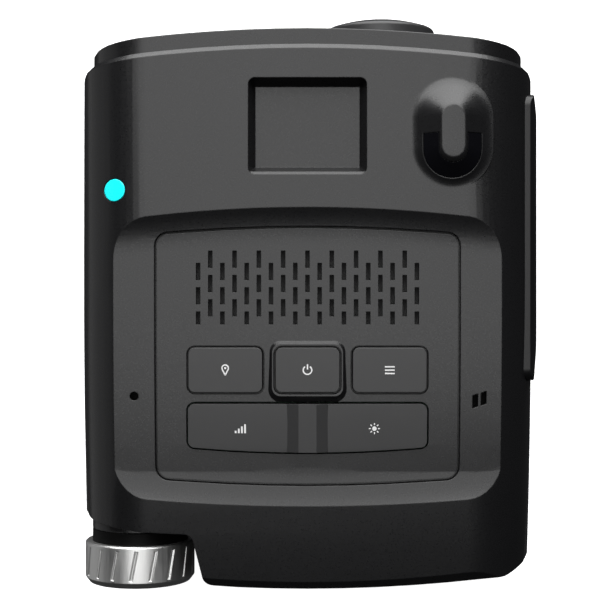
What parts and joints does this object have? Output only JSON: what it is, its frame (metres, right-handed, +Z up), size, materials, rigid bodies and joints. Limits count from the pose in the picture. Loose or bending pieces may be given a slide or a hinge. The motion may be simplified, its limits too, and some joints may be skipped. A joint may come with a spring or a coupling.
{
  "type": "radar detector",
  "caption": "Dash radar detector with a built-in forward camera, a mount pocket, a speaker grille, top keys and a rear display.",
  "frame": {"origin": "middle of the underside of the overall box, on the surface it rests on", "axes": "+Y towards the driver (display and mute button), -Y towards the road (camera and nose), +Z up, +X to the socket side"},
  "size_m": [0.1051, 0.1312, 0.038],
  "materials": {
    "housing": "fine spark texture, satin black",
    "panel": "fine spark texture, satin black",
    "key": "satin black with a thin white icon",
    "base_shell": "fine spark texture, black",
    "bezel": "satin black",
    "mute_cap": "smooth dark grey",
    "dark_window": "polished, infrared-clear black",
    "side_trim": "fine texture, black",
    "barrel_black": "smooth black",
    "ring_silver": "turned and grooved, satin",
    "optic": "coated glass",
    "rubber_black": "matt",
    "mesh_cloth": "fine acoustic mesh",
    "circuit": "solder-masked laminate",
    "can_steel": "tinned",
    "screw_steel": "zinc plated",
    "magnet_nickel": "nickel plated",
    "horn_metal": "cast",
    "ceramic_tan": "fired",
    "cone_black": "pressed",
    "cell_blue": "sleeved",
    "flex_amber": "polyimide",
    "lamp_cyan": "clear, tinted",
    "label_grey": "blank label",
    "chip_black": "moulded"
  },
  "bodies": {
    "housing": {"top_cover": "housing", "bottom_cover": "base_shell", "rear_bezel": "bezel", "display_window": "dark_window", "control_panel": "panel", "grille_cloth": "mesh_cloth", "speaker_frame": "chip_black", "speaker_cone": "cone_black", "speaker_magnet": "magnet_nickel", "key_board": "circuit", "key_switches": "chip_black", "lens_barrel": "barrel_black", "lens_retainer": "barrel_black", "lens_glass": "optic", "lens_gasket": "rubber_black", "lens_cell": "barrel_black", "inner_lenses": "optic", "camera_holder": "chip_black", "image_sensor": "chip_black", "camera_board": "circuit", "front_window": "dark_window", "laser_window": "dark_window", "laser_sensor": "chip_black", "side_panel": "side_trim", "power_socket": "chip_black", "usb_socket": "can_steel", "card_socket": "can_steel", "main_board": "circuit", "front_horn": "horn_metal", "radar_module": "can_steel", "rear_horn": "horn_metal", "gps_antenna": "ceramic_tan", "wireless_module": "can_steel", "processor_shield": "can_steel", "display_module": "chip_black", "display_board": "circuit", "mute_switch": "chip_black", "backup_cells": "cell_blue", "mount_magnets": "magnet_nickel", "mount_plate": "screw_steel", "microphone": "rubber_black", "status_light": "lamp_cyan", "light_sensor": "rubber_black", "display_cable": "flex_amber", "cover_screws": "screw_steel", "board_screws": "screw_steel", "key_board_screws": "screw_steel", "label_plate": "label_grey"},
    "mark_button": {"mark_button": "key"},
    "power_button": {"power_button": "key"},
    "program_button": {"program_button": "key"},
    "rocker_key": {"rocker_key": "key"},
    "mute_button": {"mute_button": "mute_cap"},
    "lens_ring": {"lens_ring": "ring_silver"},
    "memory_card": {"memory_card": "chip_black"}
  },
  "joints": [
    {"name": "mark_press", "type": "slide", "parent": "housing", "child": "mark_button", "axis": [0, 0, -1], "range_m": [0, 0.0007], "stiffness_N_per_m": 400},
    {"name": "power_press", "type": "slide", "parent": "housing", "child": "power_button", "axis": [0, 0, -1], "range_m": [0, 0.0007], "stiffness_N_per_m": 400},
    {"name": "program_press", "type": "slide", "parent": "housing", "child": "program_button", "axis": [0, 0, -1], "range_m": [0, 0.0007], "stiffness_N_per_m": 400},
    {"name": "rocker_tilt", "type": "hinge", "parent": "housing", "child": "rocker_key", "pos_m": [-0.00015, -0.0283, 0.0274], "axis": [0, 1, 0], "range_deg": [-2, 2], "stiffness_Nm_per_rad": 0.2},
    {"name": "mute_press", "type": "slide", "parent": "housing", "child": "mute_button", "axis": [0, -1, 0], "range_m": [0, 0.0008], "stiffness_N_per_m": 500},
    {"name": "ring_turn", "type": "hinge", "parent": "housing", "child": "lens_ring", "pos_m": [-0.03945, -0.0593, 0.0165], "axis": [0, 1, 0], "range_deg": [-30, 30]},
    {"name": "card_slide", "type": "slide", "parent": "housing", "child": "memory_card", "axis": [1, 0, 0], "range_m": [0, 0.012]}
  ]
}
